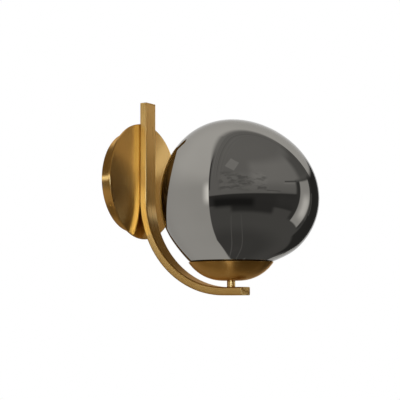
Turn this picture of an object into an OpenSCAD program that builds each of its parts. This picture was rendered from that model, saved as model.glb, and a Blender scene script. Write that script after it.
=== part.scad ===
// Globe wall sconce: a round wall canopy carries a flat brass arm that bends forward,
// a short stem on the arm carries a bowl, and a smoked glass globe stands in the bowl.
// Frame: the wall is the plane Y = 0, the room lies towards -Y, X runs to the right as the
// wall is faced, Z is up, and the origin is the centre of the canopy's back.

/* [Canopy] */
// Outer diameter of the drum that stands against the wall
drum_d = 104; // [100:1:112]
// Depth of the drum, from the wall to its front
drum_depth = 14; // [13:0.5:20]
// Sheet thickness of the drum
drum_wall = 1.2; // [0.8:0.1:1.6]
// Diameter of the disc on the front of the drum
disc_d = 120; // [116:1:140]
// Thickness of that disc
disc_t = 2.6; // [1.6:0.1:4]
// Break on the disc's edges
disc_edge = 0.3; // [0.1:0.1:0.6]
// Angle between the drum's side screws, counted from the top
side_screw_step = 120; // [120, 180]
// Thread diameter of the drum's side screws
side_screw_d = 3; // [2.5:0.5:4]
// Length of the side screws' thread
side_screw_l = 6; // [5:0.5:8]
// Head diameter of the side screws
side_head_d = 4; // [3.6:0.2:6]
// Height of the side screws' heads
side_head_h = 0.9; // [0.6:0.1:1.6]

/* [Wall plate] */
// Thickness of the steel wall plate and its tabs
plate_t = 1.5; // [1:0.1:2]
// Clearance between the wall plate and the inside of the drum
plate_gap = 0.6; // [0.4:0.1:1]
// Width of the tabs that take the side screws
tab_w = 12; // [9:0.5:16]
// How far the tabs stand off the wall
tab_depth = 11; // [10:0.5:11.5]
// Diameter of the cable opening in the wall plate
cable_d = 30; // [24:1:34]
// Distance between the middles of the two wall slots
slot_pitch = 64; // [58:1:66]
// Length of each wall slot
slot_l = 16; // [10:1:18]
// Width of the wall slots
slot_w = 5; // [4:0.5:6]

/* [Arm] */
// Width of the arm's tube, side to side
arm_w = 17.4; // [16:0.2:20]
// Thickness of the arm's tube, back to front
arm_t = 8.2; // [8:0.1:10]
// Wall of the arm's tube
arm_wall = 1.2; // [1:0.1:1.4]
// Break on the long edges of the tube
arm_edge = 0.5; // [0.2:0.1:0.9]
// Height of the arm's top above the canopy's centre
arm_rise = 81.5; // [70:1:110]
// Depth of the arm's underside below the canopy's centre
arm_drop = 118.5; // [112:1:130]
// Outer radius of the arm's bend
bend_r = 99.5; // [94:0.5:101]
// Distance from the stem's axis to the arm's front end
arm_nose = 16.5; // [14.5:0.5:26]
// Thickness of the plates that close the arm's ends
cap_t = 1.5; // [1:0.1:3]
// Length of the plugs behind those plates
cap_plug = 4; // [3:0.5:6]

/* [Arm fixing] */
// Thread diameter of the two arm screws
arm_screw_d = 4; // [3:0.5:5]
// Height of the upper arm screw above the canopy's centre
arm_screw_z = 36; // [32:1:40]
// Distance between the two arm screws
arm_screw_pitch = 26; // [20:1:28]
// Thickness of the threaded bar inside the arm
bar_t = 4; // [3:0.1:5]
// Depth of the wire hole below the canopy's centre
wire_hole_drop = 8; // [6:0.5:9]
// Bore of the wire bush
bush_bore = 6; // [5:0.2:6.4]
// Wall of the wire bush
bush_wall = 1; // [0.8:0.1:1.2]

/* [Stem] */
// Distance from the front end of the arm's bend to the stem's axis
stem_out = 4.4; // [4:0.1:6]
// Diameter of the stem
stem_d = 8.2; // [7.6:0.1:10]
// Height of the stem between the arm and the bowl
stem_gap = 6.2; // [4:0.1:12]
// Diameter of the stem's threaded spigots
spigot_d = 6; // [5.8:0.1:6.4]
// Bore of the stem
stem_bore = 4; // [3.8:0.1:4.4]
// Width of the stem's nuts across flats
stem_nut_af = 10; // [9:0.5:11]
// Thickness of the nut inside the arm
low_nut_t = 2; // [1.6:0.1:2.2]
// Thickness of the nut inside the bowl
top_nut_t = 3; // [2:0.1:4]
// Thickness of the washer inside the arm
low_washer_t = 0.5; // [0.4:0.1:0.6]
// Thickness of the washer inside the bowl
top_washer_t = 1; // [0.6:0.1:1.2]

/* [Bowl] */
// Diameter of the bowl's rim
bowl_d = 84; // [82:0.5:86]
// Diameter of the bowl's flat bottom
bowl_flat_d = 16; // [14:0.5:18]
// Sheet thickness of the bowl
bowl_wall = 1; // [0.8:0.1:1.2]

/* [Globe] */
// Mean radius of the glass globe
globe_r = 77; // [75:0.5:79]
// Thickness of the glass
glass_t = 2.5; // [2:0.1:3.5]
// Height of the globe's foot above the bowl's floor
foot_lift = 7.3; // [7:0.1:9]
// Distance from the outside of the bowl's rim to the glass, level with the rim
rim_margin = 1.7; // [1.6:0.1:2.6]
// Compass direction, seen from above, in which the globe leans out
lobe_turn = -58; // [-180:1:180]
// How far the globe leans out that way
lobe_shift = 7.2; // [0:0.1:8]
// Depth of the globe's oval form
lobe_two = 1.9; // [0:0.05:2.5]
// Tilt of the oval form
lobe_two_tilt = -7; // [-45:1:45]
// Depth of the globe's three soft shoulders
lobe_three = 1.8; // [0:0.05:2.5]
// Tilt of the three shoulders
lobe_three_tilt = -10; // [-60:1:60]
// Diameter of the hole in the globe's foot
neck_d = 31; // [30:0.5:33]

/* [Globe fitting] */
// Wall of the socket in the bowl
socket_wall = 1.7; // [1.2:0.1:2]
// Thickness of that socket's floor
socket_floor = 1.5; // [1:0.1:2]
// Wall of the collar that is glued into the globe
collar_wall = 1.7; // [1.2:0.1:1.9]
// Width of the collar's flange under the glass
flange_w = 3.5; // [2:0.1:4]
// Thickness of that flange
flange_t = 1.2; // [0.8:0.1:1.6]
// Width of the rubber ring under the flange
seal_w = 4.6; // [3:0.1:5]

/* [Lamp holder] */
// Height of the lamp holder's ceramic body
holder_h = 20; // [18:0.5:24]
// Width of the ceramic body between the bracket's legs
holder_w = 13.4; // [12:0.2:14]
// Length of the ceramic body across the pins
holder_l = 18; // [16:0.5:19]
// Space under the ceramic body for the wires
holder_lift = 11.6; // [10:0.2:14]
// Thickness of the holder's bracket
bracket_t = 1; // [0.8:0.1:1.2]
// Width of the bracket's strip
bracket_w = 10; // [9:0.5:12]
// Diameter of the rivets that hold the ceramic body
rivet_d = 3; // [2:0.2:3.4]

/* [Bulb] */
// Distance between the bulb's two pins
pin_pitch = 9; // [8.6:0.1:9.4]
// Thickness of the pins' wire
pin_d = 1; // [0.8:0.1:1.1]
// Length of the pins
pin_l = 9; // [8:0.5:10]
// Height of the bulb's base
base_h = 7; // [5:0.5:10]
// Diameter of the bulb's glass
bulb_d = 13; // [11:0.5:16]
// Height of the bulb's glass
bulb_h = 34; // [28:1:44]
// Thickness of the bulb's glass
bulb_wall = 0.9; // [0.6:0.1:1.2]
// Diameter of the light stick inside the bulb
stick_d = 3; // [2:0.2:4]

/* [Wiring] */
// Diameter of the insulated wires
wire_d = 1.5; // [1.2:0.1:1.6]
// Distance between the middles of the two wires
wire_pitch = 1.9; // [1.8:0.05:2]
// Distance between the poles of the terminal block
pole_pitch = 8; // [7:0.5:9]
// Length of the terminal block along its poles
block_l = 16; // [14:0.5:20]
// Depth of the terminal block off the drum's front
block_depth = 8.5; // [8:0.1:9]
// Distance from the canopy's centre to the terminal block
block_x = 15; // [14:0.5:18]
// Outer diameter of the brass sleeves in the block
sleeve_d = 4.4; // [4:0.1:5]
// Wall of those sleeves
sleeve_wall = 0.8; // [0.6:0.1:1]

/* [Hidden] */
$fn = 96;

// Clearance of pieces that slip over each other
slip = 0.1;
// Clearance between pieces that move past each other
free_gap = 0.3;
// Overrun of every cut past the face it opens
over = 1;

// Places of the canopy and the arm
drum_r = drum_d / 2;
drum_in_r = drum_r - drum_wall;
front_y = drum_depth + disc_t;
arm_back = front_y;
arm_bottom = -arm_drop;
arm_deck = arm_bottom + arm_t;
bend_y = arm_back + bend_r;
stem_reach = bend_y + stem_out;
arm_reach = stem_reach + arm_nose;
bend_z = arm_bottom + bend_r;
arm_in_w = arm_w - 2 * arm_wall;
arm_in_t = arm_t - 2 * arm_wall;
arm_in_edge = arm_edge / 2;
arm_low_screw_z = arm_screw_z - arm_screw_pitch;
wire_hole_z = -wire_hole_drop;
screw_y = drum_depth / 2;
tab_r = drum_in_r - plate_gap;

// Places of the stem, the bowl and what stands in it
bowl_z = arm_deck + stem_gap;
bowl_floor = bowl_z + bowl_wall;
bowl_flat_r = bowl_flat_d / 2;
spigot_r = spigot_d / 2;
washer_r = stem_nut_af / 2;

// Places of the globe: its foot is round about the stem, so that it turns in the bowl
neck_r = neck_d / 2;
foot_z = bowl_floor + foot_lift;
globe_z = foot_z + sqrt(pow(globe_r, 2) - pow(neck_r, 2));
glue_gap = 0.5;
collar_r = neck_r - glue_gap;
collar_in_r = collar_r - collar_wall;
socket_r = collar_in_r - free_gap;
socket_in_r = socket_r - socket_wall;
flange_top = foot_z - free_gap;
flange_z = flange_top - flange_t;
collar_top = foot_z + glass_t + flange_t;
seal_top = flange_z - free_gap;
seal_in_r = socket_r + free_gap;
seal_r = seal_in_r + seal_w;
seal_drop = 0.35;

// The bowl ends where the globe comes close to it, and one arc leads there from its flat bottom
rim_z = globe_z - sqrt(pow(globe_r, 2) - pow(bowl_d / 2 - rim_margin, 2));
bowl_depth = rim_z - bowl_z;
bowl_curve_r = (pow(bowl_d / 2 - bowl_flat_r, 2) + pow(bowl_depth, 2)) / (2 * bowl_depth);
bowl_curve_z = bowl_z + bowl_curve_r;
bowl_in_curve = bowl_curve_r - bowl_wall;

// Places of the lamp holder and the bulb
foot_plate_z = bowl_floor + socket_floor;
washer_z = foot_plate_z + bracket_t;
top_nut_z = washer_z + top_washer_t;
spigot_over = 1;
spigot_top = top_nut_z + top_nut_t + spigot_over;
spigot_low = arm_deck - arm_wall - low_washer_t - low_nut_t - free_gap;
holder_z = bowl_floor + holder_lift;
holder_top = holder_z + holder_h;
leg_x = holder_w / 2 + slip;
rivet_z = holder_z + rivet_d;
rivet_head_t = 0.8;
rivet_depth = 2;
pin_half = pin_pitch / 2;
pin_loop = 0.9;
pin_slot_l = 2 * pin_loop + pin_d + 4 * free_gap;
pin_slot_w = pin_d + 4 * free_gap;
contact_t = 0.4;
contact_l = 3;
contact_h = 14;
contact_gap = pin_d / 2 + free_gap;
pocket_l = contact_l + 2 * free_gap;
pocket_w = 2 * (contact_gap + contact_t + free_gap);
pocket_h = contact_h + contact_t + 2 * free_gap;
pocket_z = holder_z;
bulb_z = holder_top + free_gap;
bulb_glass_z = bulb_z + base_h;
base_l = pin_pitch + 6 * pin_d;
base_w = 8;
holder_round = 0.5;

// Routes of the wires
wire_r = wire_d / 2;
wire_out = arm_wall + wire_r + free_gap;
wire_arm_y = arm_back + wire_out;
wire_bend = 2.5;
wire_facets = 8;
wire_curl = 2.2;
wire_low_z = arm_bottom + wire_out;
contact_z = pocket_z + free_gap;
fan_z = spigot_top + wire_r;
fan_top_z = contact_z - wire_d;

// Fasteners and the terminal block
arm_head_d = 2 * arm_screw_d;
arm_head_h = 0.6 * arm_screw_d;
arm_washer_t = 0.8;
arm_washer_edge = 0.5;
arm_washer_d = arm_head_d + 2 * arm_washer_edge;
block_w = 3 * pole_pitch;
block_back = drum_depth - drum_wall;
pole_y = block_back - block_depth / 2;
small_screw_d = 2.5;
small_head_d = 4.6;
small_head_h = 1.6;
terminal_screw_d = 2.4;
terminal_screw_l = 4;
earth_x = 9.5;
earth_z = wire_hole_z + 2.5 * pole_pitch;
ring_t = 0.8;
ring_d = 7;
barrel_d = 2.4;
barrel_l = 4;
barrel_y = block_back - ring_t / 2 - barrel_d / 2 + slip;
wire_entry = 6;
// Share of a head or a plate that a slot or a blind hole goes into
recess_share = 0.5;
// Where the small screws stand on the front of the drum, as [x, z]
small_screw_places = [
    [earth_x, earth_z],
    [block_x + block_l / 2, wire_hole_z - pole_pitch / 2],
    [block_x + block_l / 2, wire_hole_z + pole_pitch / 2]
];

// Steps of a wire's corner: at least so many, and one more for each length of its radius
corner_steps = 3;
corner_step = 8;

// Rings and turns of the glass
glass_rings = 26;
glass_turns = 48;
// Cosines of the angle from the top between which the lobes fade out towards the bowl
lobe_end = -(globe_z - rim_z) / globe_r;
lobe_fade_share = 0.3;

// Outline of a rectangle with its four corners cut
function cut_rectangle(w, t, c) = [
    [c - w / 2, -t / 2], [w / 2 - c, -t / 2], [w / 2, c - t / 2], [w / 2, t / 2 - c],
    [w / 2 - c, t / 2], [c - w / 2, t / 2], [-w / 2, t / 2 - c], [-w / 2, c - t / 2]
];

// Inner face of the bowl at a radius
function bowl_inside(r) = bowl_curve_z - sqrt(pow(bowl_in_curve, 2) - pow(max(r - bowl_flat_r, 0), 2));

// Moves a piece that is drawn round the stem's axis to its place
module at_stem() {
    translate([0, -stem_reach, 0]) children();
}

// Turns a piece that is drawn along Z so that it runs from the wall into the room
module out_of_wall(y = 0) {
    translate([0, -y, 0]) rotate([90, 0, 0]) children();
}

// Ring round the Z axis
module ring(outer_r, inner_r, h) {
    difference() {
        cylinder(r = outer_r, h = h);
        translate([0, 0, -over]) cylinder(r = inner_r, h = h + 2 * over);
    }
}

// Hexagon nut on the Z axis
module hex_nut(af, bore_r, h) {
    difference() {
        cylinder(d = 2 * af / sqrt(3), h = h, $fn = 6);
        translate([0, 0, -over]) cylinder(r = bore_r, h = h + 2 * over);
    }
}

// Pan head screw: its head starts at the origin and its thread runs up Z
module pan_screw(d, l, head_d, head_h, groove) {
    difference() {
        union() {
            translate([0, 0, -head_h]) cylinder(d = head_d, h = head_h);
            cylinder(d = d, h = l);
        }
        translate([-head_d / 2 - over, -groove / 2, -head_h - over])
            cube([head_d + 2 * over, groove, head_h * recess_share + over]);
    }
}

// Unit vector along a vector
function unit(v) = v / norm(v);

// Points of a rounded corner at b, on the way from a to c, with a radius
function corner(a, b, c, r) =
    let (
        u = unit(a - b),
        v = unit(c - b),
        half = acos(u * v) / 2,
        turn = 180 - 2 * half,
        centre = b + unit(u + v) * r / sin(half),
        first = b + u * r / tan(half) - centre,
        last = b + v * r / tan(half) - centre,
        steps = ceil(corner_steps + r / corner_step)
    )
    [for (k = [0 : steps])
        centre + (sin(turn * (1 - k / steps)) * first + sin(turn * k / steps) * last) / sin(turn)];

// Route of a wire through its stops, each with its radius, as [point, radius]
function wire_route(stops) = [
    stops[0][0],
    for (i = [1 : len(stops) - 2]) each corner(stops[i - 1][0], stops[i][0], stops[i + 1][0], stops[i][1]),
    stops[len(stops) - 1][0]
];

// Direction of a route at one of its points
function heading(route, i) = unit(route[min(i + 1, len(route) - 1)] - route[max(i - 1, 0)]);

// Side vectors of a route from point i on, each turned as little as the route allows
function sides(route, i, side) =
    let (h = heading(route, i), turned = unit(side - (side * h) * h))
    i == len(route) - 1 ? [turned] : concat([turned], sides(route, i + 1, turned));

// Insulated wire along a route, as one closed skin
module wire(stops, start_side) {
    route = wire_route(stops);
    side = sides(route, 0, start_side);
    n = len(route);
    polyhedron(
        points = [for (i = [0 : n - 1], k = [0 : wire_facets - 1])
            let (a = 360 * k / wire_facets)
            route[i] + wire_r * (cos(a) * side[i] + sin(a) * cross(heading(route, i), side[i]))],
        faces = [
            [for (k = [0 : wire_facets - 1]) k],
            [for (k = [0 : wire_facets - 1]) n * wire_facets - 1 - k],
            for (i = [0 : n - 2], k = [0 : wire_facets - 1])
                let (next = (k + 1) % wire_facets, low = i * wire_facets, high = low + wire_facets)
                each [[low + k, high + k, high + next], [low + k, high + next, low + next]]
        ],
        convexity = 10
    );
}

// Quarter turn of a tube in the plane X = 0: turns from angle a in the Y-Z plane
module quarter(y, z, a) {
    translate([0, y, z]) rotate([90, 0, 90]) rotate([0, 0, a]) rotate_extrude(angle = 90) children();
}

// The arm's route with a given section, run past its two ends by extra
module arm_route(w, t, edge, extra) {
    translate([0, -(arm_back + arm_t / 2), bend_z])
        linear_extrude(arm_rise - cap_t + extra - bend_z) polygon(cut_rectangle(w, t, edge));
    quarter(-bend_y, bend_z, -90) translate([bend_r - arm_t / 2, 0]) rotate(90)
        polygon(cut_rectangle(w, t, edge));
    translate([0, -bend_y, arm_bottom + arm_t / 2]) rotate([90, 0, 0])
        linear_extrude(arm_reach - cap_t + extra - bend_y) polygon(cut_rectangle(w, t, edge));
}

// Holes for the arm screws, drilled from the wall side
module arm_screw_holes(d, depth, from_y) {
    for (z = [arm_screw_z, arm_low_screw_z])
        translate([0, 0, z]) out_of_wall(from_y - over) cylinder(d = d, h = depth + 2 * over);
}

// Holes for the earth screw and the terminal block's screws
module small_screw_holes(depth, from_y) {
    for (p = small_screw_places)
        translate([p.x, 0, p.y]) out_of_wall(from_y - over)
            cylinder(d = small_screw_d + 2 * slip, h = depth + 2 * over);
}

// Steel plate on the wall, with two slots, a cable opening and three threaded tabs
module wall_plate() {
    color("silver") difference() {
        union() {
            out_of_wall() cylinder(r = tab_r - plate_t, h = plate_t);
            intersection() {
                out_of_wall() ring(tab_r, tab_r - plate_t - over, tab_depth);
                for (a = [0 : side_screw_step : 359])
                    rotate([0, a, 0]) translate([-tab_w / 2, -tab_depth, 0])
                        cube([tab_w, tab_depth, tab_r + over]);
            }
        }
        for (a = [0 : side_screw_step : 359])
            rotate([0, a, 0]) translate([-tab_w / 2 - over, -tab_depth - over, 0])
                cube([tab_w + 2 * over, tab_depth + over - plate_t, tab_r - plate_t]);
        for (a = [0 : side_screw_step : 359])
            rotate([0, a, 0]) translate([0, -screw_y, tab_r - plate_t - over])
                cylinder(d = side_screw_d + slip, h = plate_t + 2 * over);
        out_of_wall(-over) cylinder(d = cable_d, h = plate_t + 2 * over);
        for (s = [-1, 1]) {
            for (e = [-1, 1])
                translate([s * slot_pitch / 2 + e * (slot_l - slot_w) / 2, 0, 0])
                    out_of_wall(-over) cylinder(d = slot_w, h = plate_t + 2 * over);
            translate([s * slot_pitch / 2 - (slot_l - slot_w) / 2, -plate_t - over, -slot_w / 2])
                cube([slot_l - slot_w, plate_t + 2 * over, slot_w]);
        }
    }
}

// Spun brass drum, open to the wall
module canopy_drum() {
    color("goldenrod") difference() {
        out_of_wall() cylinder(r = drum_r, h = drum_depth);
        out_of_wall(-over) cylinder(r = drum_in_r, h = drum_depth - drum_wall + over);
        for (a = [0 : side_screw_step : 359])
            rotate([0, a, 0]) translate([0, -screw_y, drum_in_r - over])
                cylinder(d = side_screw_d + 2 * slip, h = drum_wall + 2 * over);
        arm_screw_holes(arm_screw_d + 2 * slip, drum_wall, drum_depth - drum_wall);
        translate([0, 0, wire_hole_z]) out_of_wall(drum_depth - drum_wall - over)
            cylinder(d = bush_bore + 2 * bush_wall + 2 * slip, h = drum_wall + 2 * over);
        small_screw_holes(drum_wall, drum_depth - drum_wall);
    }
}

// Front disc, wider than the drum
module canopy_disc() {
    disc_r = disc_d / 2;
    color("gold") difference() {
        out_of_wall(drum_depth) rotate_extrude() polygon([
            [0, 0], [disc_r - disc_edge, 0], [disc_r, disc_edge], [disc_r, disc_t - disc_edge],
            [disc_r - disc_edge, disc_t], [0, disc_t]
        ]);
        arm_screw_holes(arm_screw_d + 2 * slip, disc_t, drum_depth);
        translate([0, 0, wire_hole_z]) out_of_wall(drum_depth - over)
            cylinder(d = bush_bore + 2 * bush_wall + 2 * slip, h = disc_t + 2 * over);
        small_screw_holes(disc_t * recess_share - over, drum_depth);
    }
}

// Screws that hold the drum to the wall plate's tabs
module side_screws() {
    color("darkgoldenrod") for (a = [0 : side_screw_step : 359])
        rotate([0, a, 0]) translate([0, -screw_y, drum_r]) mirror([0, 0, 1])
            pan_screw(side_screw_d, side_screw_l, side_head_d, side_head_h, side_head_h);
}

// Flat brass tube: straight behind, bent a quarter turn, level below
module arm_tube() {
    color("goldenrod") difference() {
        arm_route(arm_w, arm_t, arm_edge, 0);
        arm_route(arm_in_w, arm_in_t, arm_in_edge, over);
        arm_screw_holes(arm_screw_d + 2 * slip, arm_wall, arm_back);
        translate([0, 0, wire_hole_z]) out_of_wall(arm_back - over)
            cylinder(d = bush_bore + 2 * bush_wall + 2 * slip, h = arm_wall + 2 * over);
        at_stem() translate([0, 0, arm_deck - arm_wall - over])
            cylinder(r = spigot_r + slip, h = arm_wall + 2 * over);
    }
}

// Plate with a plug that closes an end of the arm, drawn with the plate above Z = 0
module arm_cap() {
    linear_extrude(cap_t) polygon(cut_rectangle(arm_w, arm_t, arm_edge));
    translate([0, 0, -cap_plug]) linear_extrude(cap_plug)
        polygon(cut_rectangle(arm_in_w - 2 * slip, arm_in_t - 2 * slip, arm_edge));
}

module arm_top_cap() {
    color("goldenrod") translate([0, -(arm_back + arm_t / 2), arm_rise - cap_t]) arm_cap();
}

module arm_front_cap() {
    color("goldenrod") translate([0, -(arm_reach - cap_t), arm_bottom + arm_t / 2])
        rotate([90, 0, 0]) arm_cap();
}

// Threaded steel bar inside the arm
module arm_fixing_bar() {
    bar_l = arm_screw_pitch + 3 * arm_screw_d;
    bar_w = arm_in_w - 2 * free_gap;
    color("silver") difference() {
        translate([-bar_w / 2, -(arm_back + arm_wall + bar_t), arm_low_screw_z - 1.5 * arm_screw_d])
            cube([bar_w, bar_t, bar_l]);
        arm_screw_holes(arm_screw_d + slip, bar_t, arm_back + arm_wall);
    }
}

// Pan head screws from inside the drum into the bar
module arm_screws() {
    head_y = drum_depth - drum_wall - arm_washer_t;
    screw_l = arm_back + arm_wall + bar_t - head_y;
    color("silver") for (z = [arm_screw_z, arm_low_screw_z])
        translate([0, 0, z]) out_of_wall(head_y)
            pan_screw(arm_screw_d, screw_l, arm_head_d, arm_head_h, arm_washer_t);
}

module arm_washers() {
    color("gainsboro") for (z = [arm_screw_z, arm_low_screw_z])
        translate([0, 0, z]) out_of_wall(drum_depth - drum_wall - arm_washer_t)
            ring(arm_washer_d / 2, arm_screw_d / 2 + slip, arm_washer_t);
}

// Nylon bush that lines the wire hole through the drum, the disc and the arm's back
module wire_bush() {
    bush_r = bush_bore / 2 + bush_wall;
    bush_y = drum_depth - drum_wall;
    color("white") translate([0, 0, wire_hole_z]) difference() {
        union() {
            out_of_wall(bush_y) cylinder(r = bush_r, h = arm_back + arm_wall - bush_y);
            out_of_wall(bush_y - bush_wall) cylinder(r = bush_r + bush_wall, h = bush_wall);
        }
        out_of_wall(bush_y - bush_wall - over)
            cylinder(d = bush_bore, h = arm_back + arm_wall - bush_y + bush_wall + 2 * over);
    }
}

// Places the three poles of the terminal block
module at_poles() {
    for (i = [-1, 0, 1]) translate([block_x, -pole_y, wire_hole_z + i * pole_pitch]) children();
}

module terminal_block() {
    color("ivory") difference() {
        translate([block_x, -block_back, wire_hole_z - block_w / 2]) cube([block_l, block_depth, block_w]);
        at_poles() {
            translate([-over, 0, 0]) rotate([0, 90, 0])
                cylinder(d = sleeve_d + 2 * slip, h = block_l + 2 * over);
            for (x = [block_l / 4, 3 * block_l / 4]) translate([x, 0, 0]) rotate([-90, 0, 0])
                cylinder(d = terminal_screw_d + 4 * slip, h = block_depth);
        }
        for (i = [-1, 1])
            translate([block_x + block_l / 2, -block_back - over, wire_hole_z + i * pole_pitch / 2])
                rotate([-90, 0, 0]) cylinder(d = small_screw_d + 2 * slip, h = block_depth + 2 * over);
    }
}

module terminal_sleeves() {
    color("gold") at_poles() translate([block_l / 8, 0, 0]) rotate([0, 90, 0])
        difference() {
            ring(sleeve_d / 2, sleeve_d / 2 - sleeve_wall, block_l * 3 / 4);
            for (x = [block_l / 8, block_l * 5 / 8]) translate([0, 0, x]) rotate([-90, 0, 0])
                cylinder(d = terminal_screw_d + slip, h = sleeve_d);
        }
}

module terminal_screws() {
    color("silver") at_poles() for (x = [block_l / 4, 3 * block_l / 4])
        translate([x, wire_r + slip, 0]) rotate([-90, 0, 0]) difference() {
            cylinder(d = terminal_screw_d, h = terminal_screw_l - wire_r);
            translate([-terminal_screw_d, -slip, terminal_screw_l - wire_r - terminal_screw_d / 4])
                cube([2 * terminal_screw_d, 4 * slip, terminal_screw_d]);
        }
}

// Pan head screws that hold the terminal block and the earth ring to the drum and the disc
module small_screw(place, head_y) {
    screw_l = drum_depth + disc_t * recess_share - slip - head_y;
    translate([place.x, 0, place.y]) out_of_wall(head_y)
        pan_screw(small_screw_d, screw_l, small_head_d, small_head_h, ring_t);
}

module block_screws() {
    color("silver") for (i = [1, 2]) small_screw(small_screw_places[i], block_back - block_depth);
}

module earth_screw() {
    color("gold") small_screw(small_screw_places[0], block_back - ring_t);
}

// Ring terminal with its crimped barrel
module earth_ring() {
    color("gainsboro") difference() {
        union() {
            translate([earth_x, 0, earth_z]) out_of_wall(block_back - ring_t)
                cylinder(d = ring_d, h = ring_t);
            translate([earth_x, -barrel_y, earth_z - ring_d / 2 - barrel_l + ring_t])
                cylinder(d = barrel_d, h = barrel_l);
        }
        translate([earth_x, 0, earth_z]) out_of_wall(block_back - ring_t - over)
            cylinder(d = small_screw_d + 2 * slip, h = ring_t + 2 * over);
        translate([earth_x, -barrel_y, earth_z - ring_d / 2 - barrel_l + ring_t - over])
            cylinder(d = wire_d + slip, h = barrel_l * recess_share + over);
    }
}

// Short earth lead from the terminal block to the ring terminal
module earth_wire() {
    pole_z = wire_hole_z + pole_pitch;
    barrel_z = earth_z - ring_d / 2 - barrel_l + ring_t;
    color("yellowgreen") wire([
        [[block_x + wire_entry, -pole_y, pole_z], 0],
        [[earth_x, -pole_y, pole_z], wire_bend],
        [[earth_x, -barrel_y, barrel_z - wire_r], wire_r],
        [[earth_x, -barrel_y, barrel_z + barrel_l * recess_share - slip], 0]
    ], [0, 1, 0]);
}

// Wire from the terminal block through the arm and the stem to the lamp holder
module lamp_wire(pole_z, x, contact_y) {
    wire([
        [[block_x + wire_entry, -pole_y, pole_z], 0],
        if (pole_z != wire_hole_z) [[x + 2 * wire_bend, -pole_y, pole_z], wire_bend],
        [[x, -pole_y, wire_hole_z], wire_bend],
        [[x, -wire_arm_y, wire_hole_z], wire_bend],
        [[x, -wire_arm_y, wire_low_z], bend_r - wire_out],
        [[x, -stem_reach, wire_low_z], wire_curl],
        [[x, -stem_reach, fan_z], wire_r],
        [[0, contact_y - stem_reach, fan_top_z], wire_r],
        [[0, contact_y - stem_reach, contact_z], 0]
    ], [0, 1, 0]);
}

module live_wire() {
    color("brown") lamp_wire(wire_hole_z, wire_pitch / 2, pin_half);
}

module neutral_wire() {
    color("royalblue") lamp_wire(wire_hole_z - pole_pitch, -wire_pitch / 2, -pin_half);
}

// Turned brass stem: a round shoulder between two threaded spigots, bored for the wires
module stem() {
    color("goldenrod") at_stem() difference() {
        union() {
            translate([0, 0, arm_deck]) cylinder(d = stem_d, h = stem_gap);
            translate([0, 0, spigot_low]) cylinder(r = spigot_r, h = spigot_top - spigot_low);
        }
        translate([0, 0, spigot_low - over]) cylinder(d = stem_bore, h = spigot_top - spigot_low + 2 * over);
    }
}

module stem_low_washer() {
    color("gainsboro") at_stem() translate([0, 0, arm_deck - arm_wall - low_washer_t])
        ring(washer_r, spigot_r + slip, low_washer_t);
}

module stem_low_nut() {
    color("silver") at_stem() translate([0, 0, arm_deck - arm_wall - low_washer_t - low_nut_t])
        hex_nut(stem_nut_af, spigot_r + slip / 2, low_nut_t);
}

module stem_top_washer() {
    color("gainsboro") at_stem() translate([0, 0, washer_z]) ring(washer_r, spigot_r + slip, top_washer_t);
}

module stem_top_nut() {
    color("silver") at_stem() translate([0, 0, top_nut_z])
        hex_nut(stem_nut_af, spigot_r + slip / 2, top_nut_t);
}

// Solid of the bowl out to a curve, from below its bottom up to its rim
module bowl_solid(curve, bottom) {
    rotate_extrude() intersection() {
        union() {
            translate([bowl_flat_r, bowl_curve_z]) circle(r = curve);
            translate([0, bowl_curve_z - curve]) square([bowl_flat_r, curve]);
        }
        translate([0, bottom]) square([bowl_d / 2, rim_z - bottom]);
    }
}

// Spun brass bowl under the globe
module bowl() {
    color("goldenrod") at_stem() difference() {
        bowl_solid(bowl_curve_r, bowl_z);
        rotate_extrude() intersection() {
            union() {
                translate([bowl_flat_r, bowl_curve_z]) circle(r = bowl_in_curve);
                translate([0, bowl_floor]) square([bowl_flat_r, bowl_in_curve]);
            }
            translate([0, bowl_floor]) square([bowl_d / 2, rim_z + over - bowl_floor]);
        }
        translate([0, 0, bowl_z - over]) cylinder(r = spigot_r + slip, h = bowl_wall + 2 * over);
    }
}

// Round socket on the bowl's floor that the globe's collar slips over
module globe_socket() {
    color("silver") at_stem() rotate_extrude() polygon([
        [spigot_r + slip, bowl_floor], [bowl_flat_r, bowl_floor],
        [socket_r, bowl_inside(socket_r) + slip], [socket_r, collar_top],
        [socket_in_r, collar_top], [socket_in_r, foot_plate_z], [spigot_r + slip, foot_plate_z]
    ]);
}

// Silicone ring between the bowl and the collar's flange
module globe_seal() {
    color("dimgray") at_stem() rotate_extrude() polygon([
        [seal_in_r, bowl_inside(seal_in_r) + seal_drop], [seal_r, bowl_inside(seal_r) + seal_drop],
        [seal_r, seal_top], [seal_in_r, seal_top]
    ]);
}

// Collar glued into the globe's foot
module globe_collar() {
    color("silver") at_stem() rotate_extrude() polygon([
        [collar_in_r, flange_z], [collar_r + flange_w, flange_z], [collar_r + flange_w, flange_top],
        [collar_r, flange_top], [collar_r, collar_top], [collar_in_r, collar_top]
    ]);
}

// Share of the lobes that is left at a height, from 0 at the bowl's rim to 1 above it
function lobe_fade(c) = let (s = min(max((c - lobe_end) / lobe_fade_share, 0), 1)) 1 - pow(1 - s, 3);

// Outer radius of the globe at an angle from the top and a compass direction
function globe_reach(tilt, turn) =
    let (
        side = sin(tilt) * cos(turn - lobe_turn),
        up = cos(tilt),
        angle = atan2(up, side),
        size = sqrt(side * side + up * up)
    )
    globe_r + lobe_fade(up) * (
        lobe_shift * side
        + lobe_two * pow(size, 2) * cos(2 * (angle - lobe_two_tilt))
        + lobe_three * pow(size, 3) * cos(3 * (angle - lobe_three_tilt))
    );

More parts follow.
